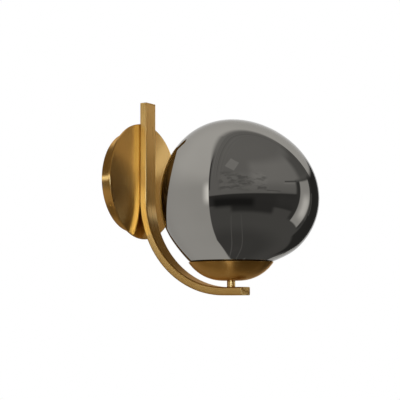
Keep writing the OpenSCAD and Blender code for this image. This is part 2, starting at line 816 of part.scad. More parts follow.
// Points of one skin of the globe, set in by a depth: the top, then its rings down to the foot
function globe_skin(depth) =
    let (foot = 180 - asin(neck_r / (globe_r - depth)))
    concat(
        [[0, 0, globe_z + globe_reach(0, 0) - depth]],
        [for (i = [1 : glass_rings], j = [0 : glass_turns - 1])
            let (
                tilt = foot * i / glass_rings,
                turn = 360 * j / glass_turns,
                r = globe_reach(tilt, turn) - depth
            )
            [r * sin(tilt) * cos(turn), r * sin(tilt) * sin(turn), globe_z + r * cos(tilt)]]
    );

// Number of a point of one skin
function skin_point(i, j) = i == 0 ? 0 : 1 + (i - 1) * glass_turns + j % glass_turns;

// Hollow glass globe with a round hole in its foot
module globe_glass() {
    inner = 1 + glass_rings * glass_turns;
    color("dimgray", 0.8) at_stem() polyhedron(
        points = concat(globe_skin(0), globe_skin(glass_t)),
        faces = [
            for (j = [0 : glass_turns - 1]) each [
                [0, skin_point(1, j + 1), skin_point(1, j)],
                [inner, inner + skin_point(1, j), inner + skin_point(1, j + 1)],
                [inner + skin_point(glass_rings, j + 1), inner + skin_point(glass_rings, j),
                    skin_point(glass_rings, j)],
                [inner + skin_point(glass_rings, j + 1), skin_point(glass_rings, j),
                    skin_point(glass_rings, j + 1)],
                for (i = [1 : glass_rings - 1])
                    let (
                        a = skin_point(i, j),
                        b = skin_point(i, j + 1),
                        c = skin_point(i + 1, j + 1),
                        d = skin_point(i + 1, j)
                    ) each [
                        [a, b, c], [a, c, d],
                        [inner + a, inner + c, inner + b], [inner + a, inner + d, inner + c]
                    ]
            ]
        ],
        convexity = 4
    );
}

// Steel bracket: a foot under the stem's nut and two legs beside the ceramic body
module holder_bracket() {
    leg_h = rivet_z + bracket_w / 2 - foot_plate_z;
    color("silver") at_stem() difference() {
        union() {
            translate([-leg_x - bracket_t, -bracket_w / 2, foot_plate_z])
                cube([2 * (leg_x + bracket_t), bracket_w, bracket_t]);
            for (s = [0, 1]) mirror([s, 0, 0]) translate([leg_x, -bracket_w / 2, foot_plate_z])
                cube([bracket_t, bracket_w, leg_h]);
        }
        translate([0, 0, foot_plate_z - over]) cylinder(r = spigot_r + slip, h = bracket_t + 2 * over);
        translate([-leg_x - bracket_t - over, 0, rivet_z]) rotate([0, 90, 0])
            cylinder(d = rivet_d + slip, h = 2 * (leg_x + bracket_t + over));
    }
}

// Ceramic body with two pin slots above and two contact pockets below
module holder_body() {
    color("whitesmoke") at_stem() difference() {
        intersection() {
            translate([0, 0, holder_z]) cylinder(d = holder_l + 2 * holder_round, h = holder_h);
            translate([-holder_w / 2, -holder_l / 2, holder_z]) cube([holder_w, holder_l, holder_h]);
        }
        for (s = [-1, 1]) translate([0, s * pin_half, 0]) {
            translate([-pin_slot_l / 2, -pin_slot_w / 2, pocket_z + pocket_h - over])
                cube([pin_slot_l, pin_slot_w, holder_h]);
            translate([-pocket_l / 2, -pocket_w / 2, pocket_z - over])
                cube([pocket_l, pocket_w, pocket_h + over]);
        }
        for (s = [0, 1]) mirror([s, 0, 0])
            translate([holder_w / 2 - rivet_depth - slip, 0, rivet_z]) rotate([0, 90, 0])
                cylinder(d = rivet_d + slip, h = rivet_depth + over);
    }
}

module holder_rivets() {
    color("silver") at_stem() for (s = [0, 1]) mirror([s, 0, 0]) {
        translate([leg_x + bracket_t, 0, rivet_z]) rotate([0, 90, 0])
            cylinder(d = 1.6 * rivet_d, h = rivet_head_t);
        translate([holder_w / 2 - rivet_depth, 0, rivet_z]) rotate([0, 90, 0])
            cylinder(d = rivet_d, h = leg_x + bracket_t - holder_w / 2 + rivet_depth);
    }
}

// Bronze spring clips in the ceramic body, each with two leaves beside a pin
module holder_contacts() {
    clip_w = 2 * (contact_gap + contact_t);
    color("peru") at_stem() for (s = [-1, 1]) translate([-contact_l / 2, s * pin_half, contact_z]) {
        translate([0, -clip_w / 2, 0]) cube([contact_l, clip_w, contact_t]);
        for (y = [-clip_w / 2, contact_gap]) translate([0, y, 0]) cube([contact_l, contact_t, contact_h]);
    }
}

module bulb_base() {
    color("whitesmoke") at_stem() translate([-base_w / 2, -base_l / 2, bulb_z])
        cube([base_w, base_l, base_h]);
}

// Two pins, each a wire bent into a loop
module bulb_pins() {
    leg = pin_l - pin_loop;
    color("silver") at_stem() for (s = [-1, 1]) translate([0, s * pin_half, bulb_z - leg]) {
        for (x = [-pin_loop, pin_loop]) translate([x, 0, 0]) cylinder(d = pin_d, h = leg);
        rotate([-90, 0, 0]) rotate_extrude(angle = 180) translate([pin_loop, 0]) circle(d = pin_d);
    }
}

// Round-topped bulb glass, open at its base
module bulb_glass() {
    color("white", 0.6) at_stem() translate([0, 0, bulb_glass_z]) difference() {
        bulb_form(bulb_d / 2, bulb_h - bulb_d / 2);
        translate([0, 0, -over]) bulb_form(bulb_d / 2 - bulb_wall, bulb_h - bulb_d / 2 + over);
    }
}

// Cylinder with a half ball on top
module bulb_form(r, h) {
    cylinder(r = r, h = h);
    translate([0, 0, h]) sphere(r = r);
}

module bulb_stick() {
    color("khaki") at_stem() translate([0, 0, bulb_glass_z]) cylinder(d = stick_d, h = bulb_h - bulb_d);
}

wall_plate();
canopy_drum();
canopy_disc();
side_screws();
arm_tube();
arm_top_cap();
arm_front_cap();
arm_fixing_bar();
arm_screws();
arm_washers();
wire_bush();
terminal_block();
terminal_sleeves();
terminal_screws();
block_screws();
earth_screw();
earth_ring();
earth_wire();
live_wire();
neutral_wire();
stem();
stem_low_washer();
stem_low_nut();
stem_top_washer();
stem_top_nut();
bowl();
globe_socket();
globe_seal();
globe_collar();
globe_glass();
holder_bracket();
holder_body();
holder_rivets();
holder_contacts();
bulb_base();
bulb_pins();
bulb_glass();
bulb_stick();
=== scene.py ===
"""Wall light with a mirrored smoke-glass globe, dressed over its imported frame.

Lengths are metres in the frame's own axes: +Z up, the wall at Y = 0, the light standing out along -Y.
Sizes that the frame holds are read from it, and the others are named in millimetres with MM.
"""

from __future__ import annotations

import logging
import math
from collections.abc import Callable, Iterable, Sequence
from dataclasses import dataclass
from enum import Enum
from functools import cache

import bmesh
import bpy
from mathutils import Matrix, Vector

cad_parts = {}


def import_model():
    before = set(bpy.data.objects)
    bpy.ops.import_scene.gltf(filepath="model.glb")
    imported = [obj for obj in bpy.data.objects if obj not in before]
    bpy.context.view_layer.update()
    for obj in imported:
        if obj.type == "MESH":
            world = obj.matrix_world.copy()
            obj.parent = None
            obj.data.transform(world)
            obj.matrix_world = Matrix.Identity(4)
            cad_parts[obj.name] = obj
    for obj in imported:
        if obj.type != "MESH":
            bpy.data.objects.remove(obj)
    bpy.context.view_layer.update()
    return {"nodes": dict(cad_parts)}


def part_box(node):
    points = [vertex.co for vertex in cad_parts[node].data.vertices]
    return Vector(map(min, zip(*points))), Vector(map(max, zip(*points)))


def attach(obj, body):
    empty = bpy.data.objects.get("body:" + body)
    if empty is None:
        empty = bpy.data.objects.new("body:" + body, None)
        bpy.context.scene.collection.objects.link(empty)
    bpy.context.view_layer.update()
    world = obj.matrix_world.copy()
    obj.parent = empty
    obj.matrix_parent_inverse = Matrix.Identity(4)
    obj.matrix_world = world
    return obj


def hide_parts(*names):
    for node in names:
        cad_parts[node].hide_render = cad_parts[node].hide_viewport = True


LOG = logging.getLogger("wall_light")
MM = 0.001
FULL_TURN = 2 * math.pi
UP = Vector((0, 0, 1))
OUT_OF_WALL = Matrix.Rotation(math.pi / 2, 4, "X")
MERGE = 0.001 * MM
EDGE_FACETS = 3
SMOOTH_BELOW = math.radians(35)
WHITE = (1.0, 1.0, 1.0, 1.0)
SMOOTH = {"interpolation_type": "SMOOTHSTEP"}
STEM_OUT = 120.5 * MM
BEND_OUT = 116.1 * MM
BEND_HEIGHT = -19 * MM

Socket = bpy.types.NodeSocket
BMesh = bmesh.types.BMesh
BMEdge = bmesh.types.BMEdge
BMVert = bmesh.types.BMVert
Colour = tuple[float, float, float, float]


def linear(hex_colour: str) -> Colour:
    """Turns an sRGB hex colour into linear light.

    Args:
        hex_colour: the colour as "#rrggbb".

    Returns:
        Red, green, blue and full opacity, each from 0 to 1.
    """
    parts = [int(hex_colour[i : i + 2], 16) / 255 for i in (1, 3, 5)]
    red, green, blue = [p / 12.92 if p <= 0.04045 else ((p + 0.055) / 1.055) ** 2.4 for p in parts]
    return red, green, blue, 1.0


@dataclass
class Graph:
    """A node tree that grows by one node at a time."""

    tree: bpy.types.NodeTree

    def add(
        self, kind: str, feeds: dict | Sequence = (), operation: str = "", output: int | str = 0, **settings
    ) -> Socket:
        """Adds one node with its settings and links.

        Args:
            kind: the node's type, without its ShaderNode prefix.
            feeds: what its inputs take, in order or by name or number: another node's output, or a value.
            operation: the sum that a maths node does.
            output: which of the node's outputs is wanted.
            settings: the node's own options.

        Returns:
            The wanted output, or the node's first input where it has no output.
        """
        node = self.tree.nodes.new("ShaderNode" + kind)
        if operation:
            node.operation = operation
        for option, value in settings.items():
            setattr(node, option, value)
        for key, value in feeds.items() if isinstance(feeds, dict) else enumerate(feeds):
            if isinstance(value, Socket):
                self.tree.links.new(value, node.inputs[key])
            else:
                node.inputs[key].default_value = value
        return node.outputs[output] if node.outputs else node.inputs[0]


def new_graph(name: str) -> tuple[bpy.types.Material, Callable[..., Socket], Socket]:
    """Makes a node material that is still bare.

    Args:
        name: the material's name.

    Returns:
        The material, what adds a node to it, and the point on the piece.
    """
    material = bpy.data.materials.new(name)
    material.use_nodes = True
    material.node_tree.nodes.clear()
    add = Graph(material.node_tree).add
    return material, add, add("TexCoord", output="Object")


class Grain(Enum):
    """Which way brass was brushed: the centre, the reach of the spoke and the axis it turns about."""

    CANOPY = ((0, 0, 0), (-1, 0, -1), (1, 0, 1), (0, 1, 0))
    STEM = ((0, -STEM_OUT, 0), (-1, -1, 0), (1, 1, 0), (0, 0, 1))
    ARM = ((0, -BEND_OUT, BEND_HEIGHT), (0, 0, -1), (0, 1, 0), (1, 0, 0))


@dataclass(frozen=True)
class BrushedBrass:
    """Brass sheet or tube, brushed to a satin and lacquered: long soft highlights across the brush lines.

    Real brush lines are about 0.05 mm wide. These are drawn as coarse as they need to show in the render.
    """

    name: str
    grain: Grain
    colour: str = "#e0c07c"
    tarnish: str = "#cda561"
    roughness: float = 0.3
    spread: float = 0.7
    line_width: float = 0.9 * MM
    hair_width: float = 0.25 * MM
    cloud_width: float = 28 * MM
    line_length: float = 0.02
    hair_depth: float = 0.03 * MM
    gloss_range: tuple[float, float] = (0.96, 1.05)

    def material(self) -> bpy.types.Material:
        """Builds the finish: brush lines follow the sheet's own turning, as rings or along the tube.

        Returns:
            The node material.
        """
        centre, low, high, axis = self.grain.value
        material, add, place = new_graph(self.name)
        offset = add("VectorMath", [place, centre], "SUBTRACT")
        above = add("VectorMath", [offset, low], "MAXIMUM")
        spoke = add("VectorMath", [above, high], "MINIMUM")
        brush = add("VectorMath", [axis, spoke], "CROSS_PRODUCT")
        radius = add("VectorMath", [spoke], "LENGTH", output="Value")
        across = add("VectorMath", [offset, axis], "DOT_PRODUCT", output="Value")
        run = add("VectorMath", [place, (1, -1, 1)], "DOT_PRODUCT", output="Value")
        drift = add("Math", [run, self.line_length], "MULTIPLY")
        line_place = add("CombineXYZ", [radius, across, drift])
        lines = add("TexNoise", {"Vector": line_place, "Scale": 1 / self.line_width, "Detail": 3.0})
        hairs = add("TexNoise", {"Vector": line_place, "Scale": 1 / self.hair_width, "Detail": 2.0})
        clouds = add("TexNoise", {"Vector": place, "Scale": 1 / self.cloud_width, "Detail": 2.0})
        worn = add("MapRange", {"Value": lines, "From Min": 0.3, "From Max": 0.7, "To Max": 0.06})
        mottled = add("MapRange", {"Value": clouds, "From Min": 0.35, "From Max": 0.7, "To Max": 0.3})
        shade = add("Math", [worn, mottled], "ADD")
        colours = {0: shade, 6: linear(self.colour), 7: linear(self.tarnish)}
        base = add("Mix", colours, output=2, data_type="RGBA")
        low, high = (self.roughness * share for share in self.gloss_range)
        feeds = {"Value": lines, "From Min": 0.3, "From Max": 0.7, "To Min": low, "To Max": high}
        dull = add("MapRange", feeds)
        relief = add("Bump", {"Height": hairs, "Strength": 0.02, "Distance": self.hair_depth})
        shader = add(
            "BsdfPrincipled",
            {"Base Color": base, "Metallic": 1.0, "Roughness": dull, "Anisotropic": self.spread,
             "Anisotropic Rotation": 0.25, "Tangent": brush, "Normal": relief, "Coat Weight": 0.12,
             "Coat Roughness": 0.2},
        )
        add("OutputMaterial", {"Surface": shader})
        return material


@dataclass(frozen=True)
class Even:
    """Plastic, rubber, paint or glazed clay: an even colour with faint clouds and a fine grain."""

    name: str
    colour: str
    shade: str
    roughness: float = 0.45
    glaze: float = 0.0
    metal: float = 0.0
    grain: float = 0.5 * MM
    grain_depth: float = 0.1 * MM
    grain_relief: float = 0.1
    cloud: float = 9 * MM
    cloud_detail: float = 3.0
    cloud_end: float = 0.7
    gloss_range: tuple[float, float] = (0.85, 1.15)

    def material(self) -> bpy.types.Material:
        """Builds the finish: clouds shift the colour, and the grain breaks up the gloss.

        Returns:
            The node material.
        """
        material, add, place = new_graph(self.name)
        clouds = add("TexNoise", {"Vector": place, "Scale": 1 / self.cloud, "Detail": self.cloud_detail})
        grains = add("TexNoise", {"Vector": place, "Scale": 1 / self.grain, "Detail": 2.0})
        mixed = add("MapRange", {"Value": clouds, "From Min": 0.35, "From Max": self.cloud_end})
        colours = {0: mixed, 6: linear(self.colour), 7: linear(self.shade)}
        base = add("Mix", colours, output=2, data_type="RGBA")
        low, high = (self.roughness * share for share in self.gloss_range)
        dull = add("MapRange", {"Value": grains, "To Min": low, "To Max": high})
        bumps = {"Height": grains, "Strength": self.grain_relief, "Distance": self.grain_depth}
        relief = add("Bump", bumps)
        shader = add(
            "BsdfPrincipled",
            {"Base Color": base, "Metallic": self.metal, "Roughness": dull, "Normal": relief,
             "Coat Weight": self.glaze, "Coat Roughness": 0.04},
        )
        add("OutputMaterial", {"Surface": shader})
        return material


@dataclass(frozen=True)
class PlatedMetal(Even):
    """Steel, brass or copper with a thin bright plating: a coarser grain and a little cloudiness."""

    roughness: float = 0.3
    metal: float = 1.0
    grain: float = 0.8 * MM
    grain_relief: float = 0.06
    cloud: float = 12 * MM
    cloud_detail: float = 4.0
    cloud_end: float = 0.65
    gloss_range: tuple[float, float] = (0.7, 1.3)


@dataclass(frozen=True)
class MirroredSmokeGlass:
    """Blown smoke glass with a thin mirror plating: dark neutral reflections, crisp and slightly wavy."""

    name: str
    plating: str = "#8e8b85"
    thin_plating: str = "#898680"
    wave: float = 34 * MM
    wave_height: float = 0.25 * MM
    fade: float = 60 * MM

    def material(self) -> bpy.types.Material:
        """Builds the finish: a mirror base under clear glass, with the slow waves of blown work.

        Returns:
            The node material.
        """
        material, add, place = new_graph(self.name)
        waves = add("TexNoise", {"Vector": place, "Scale": 1 / self.wave, "Detail": 1.0})
        thickness = add("TexNoise", {"Vector": place, "Scale": 1 / self.fade, "Detail": 2.0})
        shade = add("MapRange", {"Value": thickness, "From Min": 0.35, "From Max": 0.65})
        colours = {0: shade, 6: linear(self.plating), 7: linear(self.thin_plating)}
        base = add("Mix", colours, output=2, data_type="RGBA")
        relief = add("Bump", {"Height": waves, "Strength": 0.1, "Distance": self.wave_height})
        shader = add(
            "BsdfPrincipled",
            {"Base Color": base, "Metallic": 1.0, "Roughness": 0.0, "Normal": relief, "Coat Weight": 0.6,
             "Coat Roughness": 0.0, "Specular Tint": linear("#aaa8a4")},
        )
        add("OutputMaterial", {"Surface": shader})
        return material


@dataclass(frozen=True)
class ClearGlass:
    """Drawn clear glass of a small bulb: see-through, with faint draw marks along it."""

    name: str
    tint: str = "#f2f5f3"
    draw_marks: float = 2.5 * MM
    mark_depth: float = 0.1 * MM

    def material(self) -> bpy.types.Material:
        """Builds the finish: full transmission and draw marks as a low bump.

        Returns:
            The node material.
        """
        material, add, place = new_graph(self.name)
        stretched = add("Mapping", {"Vector": place, "Scale": (1, 1, 0.08)})
        marks = add("TexNoise", {"Vector": stretched, "Scale": 1 / self.draw_marks, "Detail": 2.0})
        tint = add("MapRange", {"Value": marks, "From Min": 0.3, "From Max": 0.7})
        colours = {0: tint, 6: linear(self.tint), 7: WHITE}
        base = add("Mix", colours, output=2, data_type="RGBA")
        relief = add("Bump", {"Height": marks, "Strength": 0.08, "Distance": self.mark_depth})
        shader = add(
            "BsdfPrincipled",
            {"Base Color": base, "Roughness": 0.01, "IOR": 1.5, "Transmission Weight": 1.0, "Normal": relief},
        )
        add("OutputMaterial", {"Surface": shader})
        return material


@dataclass(frozen=True)
class Phosphor:
    """Yellow phosphor over a row of small chips: matt and grainy, with the chips as paler dots."""

    name: str
    colour: str = "#e2b53c"
    chip: str = "#f2dc8a"
    chip_pitch: float = 2.2 * MM
    chip_depth: float = 0.2 * MM

    def material(self) -> bpy.types.Material:
        """Builds the finish: rows of round chips under a grainy coat.

        Returns:
            The node material.
        """
        material, add, place = new_graph(self.name)
        cells = add("TexVoronoi", {"Vector": place, "Scale": 1 / self.chip_pitch, "Randomness": 0.2})
        dots = add("MapRange", {"Value": cells, "From Min": 0.25, "From Max": 0.4})
        colours = {0: dots, 6: linear(self.chip), 7: linear(self.colour)}
        base = add("Mix", colours, output=2, data_type="RGBA")
        relief = add("Bump", {"Height": cells, "Strength": 0.2, "Distance": self.chip_depth})
        shader = add("BsdfPrincipled", {"Base Color": base, "Roughness": 0.55, "Normal": relief})
        add("OutputMaterial", {"Surface": shader})
        return material


CANOPY_BRASS = BrushedBrass("spun_satin_brass_canopy", Grain.CANOPY, "#e3c481", "#d0a964", 0.24, 0.85)
ARM_BRASS = BrushedBrass("brushed_satin_brass_tube", Grain.ARM, roughness=0.28, spread=0.75)
BOWL_BRASS = BrushedBrass("spun_satin_brass_bowl", Grain.STEM)
STEM_BRASS = BrushedBrass("turned_satin_brass_stem", Grain.STEM, roughness=0.34, spread=0.5)
ZINC = PlatedMetal("zinc_plated_steel", "#c6c8c6", "#a9aca8")
NICKEL = PlatedMetal("nickel_plated_wire", "#c9c4b8", "#aba697", 0.18)
TINNED = PlatedMetal("tinned_copper", "#c8c3ba", "#a89f92", 0.25)
ALUMINIUM = PlatedMetal("turned_aluminium", "#d3d4d3", "#b9bab9", 0.28)
BARE_BRASS = PlatedMetal("machined_brass", "#d0ab5c", "#b08a3f", 0.24)
SILICONE = Even("moulded_silicone", "#3b3b3b", "#2f2f30", 0.7)
NYLON = Even("moulded_white_nylon", "#e6e3d8", "#dad6c9")
CERAMIC = Even("glazed_ceramic", "#ece8de", "#e0dbcf", 0.3, glaze=0.6)
EARTH = Even("extruded_green_yellow_sleeve", "#7f9a1f", "#5f8420", 0.4)
LIVE = Even("extruded_brown_sleeve", "#5e3a1e", "#4d2f18", 0.4)
NEUTRAL = Even("extruded_blue_sleeve", "#2a56a0", "#22488a", 0.4)
FLOOR_PAINT = Even("painted_floor", "#f4f4f3", "#f1f1f0", 0.8)
GLOBE_GLASS = MirroredSmokeGlass("mirrored_smoke_glass")
BULB_GLASS = ClearGlass("drawn_clear_glass")
PHOSPHOR = Phosphor("phosphor_coat")

Finish = BrushedBrass | Even | MirroredSmokeGlass | ClearGlass | Phosphor


@cache
def painted(finish: Finish) -> bpy.types.Material:
    """Gives a finish's material, made once."""
    return finish.material()


def lathe(
    outline: Sequence[tuple[float, float]], steps: int, place: Matrix = Matrix(), edge: float = 0.0,
    sharper: float = 40,
) -> BMesh:
    """Spins an outline about the Z axis, rounds its edges and puts it in its place.

    Args:
        outline: radius and height of each corner. It closes on itself, unless it starts on the axis.
        steps: how many facets go round.
        place: where the solid stands.
        edge: how far the rounding of its edges reaches, if it has any.
        sharper: the least angle that counts as an edge, in degrees.

    Returns:
        The turned solid.
    """
    bm = bmesh.new()
    verts = [bm.verts.new((radius, 0, height)) for radius, height in outline]
    for first, second in zip(verts, verts[1:] + verts[:1] if outline[0][0] > MERGE else verts[1:]):
        bm.edges.new((first, second))
    bmesh.ops.spin(
        bm, geom=verts + bm.edges[:], cent=(0, 0, 0), axis=UP, angle=FULL_TURN, steps=steps, use_merge=True
    )
    bmesh.ops.remove_doubles(bm, verts=bm.verts, dist=MERGE)
    bmesh.ops.recalc_face_normals(bm, faces=bm.faces)
    if edge:
        ease_edges(bm, edge, sharper)
    return stand(bm, place)


def ease_edges(bm: BMesh, width: float, sharper: float = 40, along: Vector | None = None) -> None:
    """Rounds the sharp edges of a solid.

    Args:
        bm: the solid.
        width: how far each rounding reaches.
        sharper: the least angle between two faces that counts as sharp, in degrees.
        along: where given, only the straight edges that run this way are rounded.
    """
    limit = math.radians(sharper)
    sharp = [edge for edge in bm.edges if len(edge.link_faces) == 2 and edge.calc_face_angle(0) > limit]
    if along:
        sharp = [edge for edge in sharp if (edge.verts[1].co - edge.verts[0].co).cross(along).length < MERGE]
    bmesh.ops.bevel(
        bm, geom=sharp, offset=width, offset_type="OFFSET", affect="EDGES", segments=EDGE_FACETS, profile=0.5,
        material=-1, clamp_overlap=True,
    )


def arc(centre: tuple[float, float], radius: float, start: float, end: float, steps: int) -> list[tuple]:
    """Gives both ends and the points between of an arc, with its angles in degrees from straight out."""
    angles = [math.radians(start + (end - start) * i / steps) for i in range(steps + 1)]
    return [(centre[0] + radius * math.cos(a), centre[1] + radius * math.sin(a)) for a in angles]


def block(low: Vector, high: Vector) -> BMesh:
    """A block between two corners.

    Args:
        low: the lowest corner.
        high: the highest corner.

    Returns:
        The block.
    """
    bm = bmesh.new()
    place = Matrix.Translation((low + high) / 2) @ Matrix.Diagonal((*(high - low), 1))
    bmesh.ops.create_cube(bm, size=1, matrix=place)
    return bm


def pull(bm: BMesh, loop: Sequence[BMEdge], way: Vector) -> list[BMEdge]:
    """Extrudes a loop of edges.

    Args:
        bm: the mesh.
        loop: the loop's edges.
        way: how far and which way.

    Returns:
        The new loop's edges.
    """
    made = bmesh.ops.extrude_edge_only(bm, edges=loop)["geom"]
    bmesh.ops.translate(bm, verts=[v for v in made if isinstance(v, BMVert)], vec=way)
    return [e for e in made if isinstance(e, BMEdge)]


def stand(bm: BMesh, place: Matrix) -> BMesh:
    """Puts a mesh in its place and returns it."""
    bmesh.ops.transform(bm, matrix=place, verts=bm.verts)
    return bm


def joined(parts: Iterable[BMesh]) -> BMesh:
    """Puts several meshes into one.

    Args:
        parts: the meshes, which are used up.

    Returns:
        One mesh that holds them all.
    """
    whole = bmesh.new()
    for part in parts:
        mesh = bpy.data.meshes.new("part")
        part.to_mesh(mesh)
        part.free()
        whole.from_mesh(mesh)
        bpy.data.meshes.remove(mesh)
    return whole


def finish_piece(
    name: str, bm: BMesh, finish: Finish, node: str, body: str = "root",
    wall: float = 0.0, eased: bool = True,
) -> None:
    """Turns a mesh into a piece of the light that stands for a node of the frame.

    Args:
        name: the piece's name.
        bm: its mesh, which is used up.
        finish: what it is made of.
        node: the node it replaces.
        body: the body it rides on.
        wall: where given, the thickness that the mesh gets inwards.
        eased: whether it has flat faces to keep flat beside rounded edges.
    """
    mesh = bpy.data.meshes.new(name)
    bm.to_mesh(mesh)
    bm.free()
    mesh.shade_smooth()
    mesh.set_sharp_from_angle(angle=SMOOTH_BELOW)
    mesh.materials.append(painted(finish))
    piece = bpy.data.objects.new(name, mesh)
    bpy.context.scene.collection.objects.link(piece)
    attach(piece, body)
    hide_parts(node)
    if wall:
        skin = piece.modifiers.new("wall", "SOLIDIFY")
        skin.thickness = wall
        skin.offset = -1
    if eased:
        piece.modifiers.new("flat faces", "WEIGHTED_NORMAL").keep_sharp = True
    LOG.info("%s: %d faces on %s", name, len(mesh.polygons), body)


@dataclass
class Canopy:
    """The round wall canopy: a spun drum, the disc on its front and three screws in its side."""

    drum_wall: float = 1.2 * MM
    drum_edge: float = 0.35 * MM
    disc_edge: float = 0.45 * MM
    screw_count: int = 3
    head_r: float = 2.0 * MM
    head_h: float = 0.9 * MM
    socket_r: float = 1.1 * MM
    socket_depth: float = 0.5 * MM
    thread_r: float = 1.5 * MM
    thread_depth: float = 0.18 * MM
    thread_pitch: float = 0.5 * MM
    thread_turns: int = 12
    drum_facets: int = 160
    disc_facets: int = 192
    screw_facets: int = 24

    def build(self) -> None:
        """Makes the three pieces."""
        low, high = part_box("canopy_drum")
        radius, depth = high.x, -low.y
        inner, deck = radius - self.drum_wall, depth - self.drum_wall
        outline = [(0, deck), (inner, deck), (inner, 0), (radius, 0), (radius, depth), (0, depth)]
        drum = lathe(outline, self.drum_facets, OUT_OF_WALL, self.drum_edge)
        finish_piece("canopy_drum_spun", drum, CANOPY_BRASS, "canopy_drum")
        low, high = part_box("canopy_disc")
        outline = [(0, -high.y), (high.x, -high.y), (high.x, -low.y), (0, -low.y)]
        disc = lathe(outline, self.disc_facets, OUT_OF_WALL, self.disc_edge)
        finish_piece("canopy_disc_spun", disc, CANOPY_BRASS, "canopy_disc")
        screws = joined(self._screw(i, radius, depth / 2) for i in range(self.screw_count))
        finish_piece("canopy_side_screws", screws, STEM_BRASS, "side_screws")

    def _screw(self, index: int, radius: float, out: float) -> BMesh:
        """One side screw: a low head with a round socket, and its thread as rings.

        Args:
            index: which screw, counted from the top.
            radius: the drum's radius.
            out: the screws' distance from the wall.

        Returns:
            The screw in its place.
        """
        head_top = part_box("side_screws")[1].z
        length = head_top - self.head_h - radius + self.thread_pitch * self.thread_turns
        turns = round(length / self.thread_pitch)
        root = self.thread_r - self.thread_depth
        thread = []
        for i in range(turns):
            height = -length + length * i / turns
            thread += [(root, height), (self.thread_r, height + length / turns / 2)]
        floor = self.head_h - self.socket_depth
        head = [
            (root, 0), (self.head_r, 0), (self.head_r, self.head_h), (self.socket_r, self.head_h),
            (self.socket_r, floor), (0, floor),
        ]
        turn = Matrix.Rotation(FULL_TURN * index / self.screw_count, 4, "Y")
        place = Matrix.Translation((0, -out, 0)) @ turn @ Matrix.Translation((0, 0, radius))
        return lathe([(0, -length), *thread, *head], self.screw_facets, place)


@dataclass
class Arm:
    """The bent rectangular tube, with the plates that close its two ends."""

    wall: float = 1.2 * MM
    edge: float = 1.3 * MM
    cap_edge: float = 0.35 * MM
    bend_steps: int = 56
    plug_gap: float = 0.1 * MM

    def build(self) -> None:
        """Makes the tube and both end plates."""
        self._tube()
        for name in ("arm_top_cap", "arm_front_cap"):
            self._cap(name)

    def _tube(self) -> None:
        """Sweeps the tube's outline down, round the bend and forward, then gives it its wall."""
        low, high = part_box("arm_tube")
        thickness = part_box("arm_front_cap")[1].z - low.z
        bm = bmesh.new()
        back, front = high.y, high.y - thickness
        corners = [(low.x, back), (high.x, back), (high.x, front), (low.x, front)]
        verts = [bm.verts.new((x, y, high.z)) for x, y in corners]
        loop = [bm.edges.new(pair) for pair in zip(verts, verts[1:] + verts[:1])]
        loop = pull(bm, loop, Vector((0, 0, BEND_HEIGHT - high.z)))
        spun = bmesh.ops.spin(
            bm, geom=loop, cent=(0, -BEND_OUT, BEND_HEIGHT), axis=(1, 0, 0), angle=-math.pi / 2,
            steps=self.bend_steps,
        )
        loop = [part for part in spun["geom_last"] if isinstance(part, BMEdge)]
        pull(bm, loop, Vector((0, low.y + BEND_OUT, 0)))
        bmesh.ops.remove_doubles(bm, verts=bm.verts, dist=MERGE)
        bmesh.ops.recalc_face_normals(bm, faces=bm.faces)
        ease_edges(bm, self.edge, sharper=60)
        finish_piece("arm_brushed_tube", bm, ARM_BRASS, "arm_tube", wall=self.wall)

    def _cap(self, name: str) -> None:
        """Makes one end plate with the plug behind it.

        Args:
            name: the node that the plate stands for.
        """
        low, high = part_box(name)
        tube_low, tube_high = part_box("arm_tube")
        plate_low, plate_high, plug_low, plug_high = low.copy(), high.copy(), low.copy(), high.copy()
        inset = self.wall + self.plug_gap
        if name == "arm_top_cap":
            plate_low.z = plug_high.z = tube_high.z
            shrink = Vector((inset, inset, 0))
            along = UP
        else:
            plate_high.y = plug_low.y = tube_low.y
            shrink = Vector((inset, 0, inset))
            along = Vector((0, 1, 0))
        plate = block(plate_low, plate_high)
        ease_edges(plate, self.edge, along=along)
        ease_edges(plate, self.cap_edge)
        plug = block(plug_low + shrink, plug_high - shrink)
        ease_edges(plug, self.cap_edge)
        finish_piece(name + "_plate", joined([plate, plug]), ARM_BRASS, name)


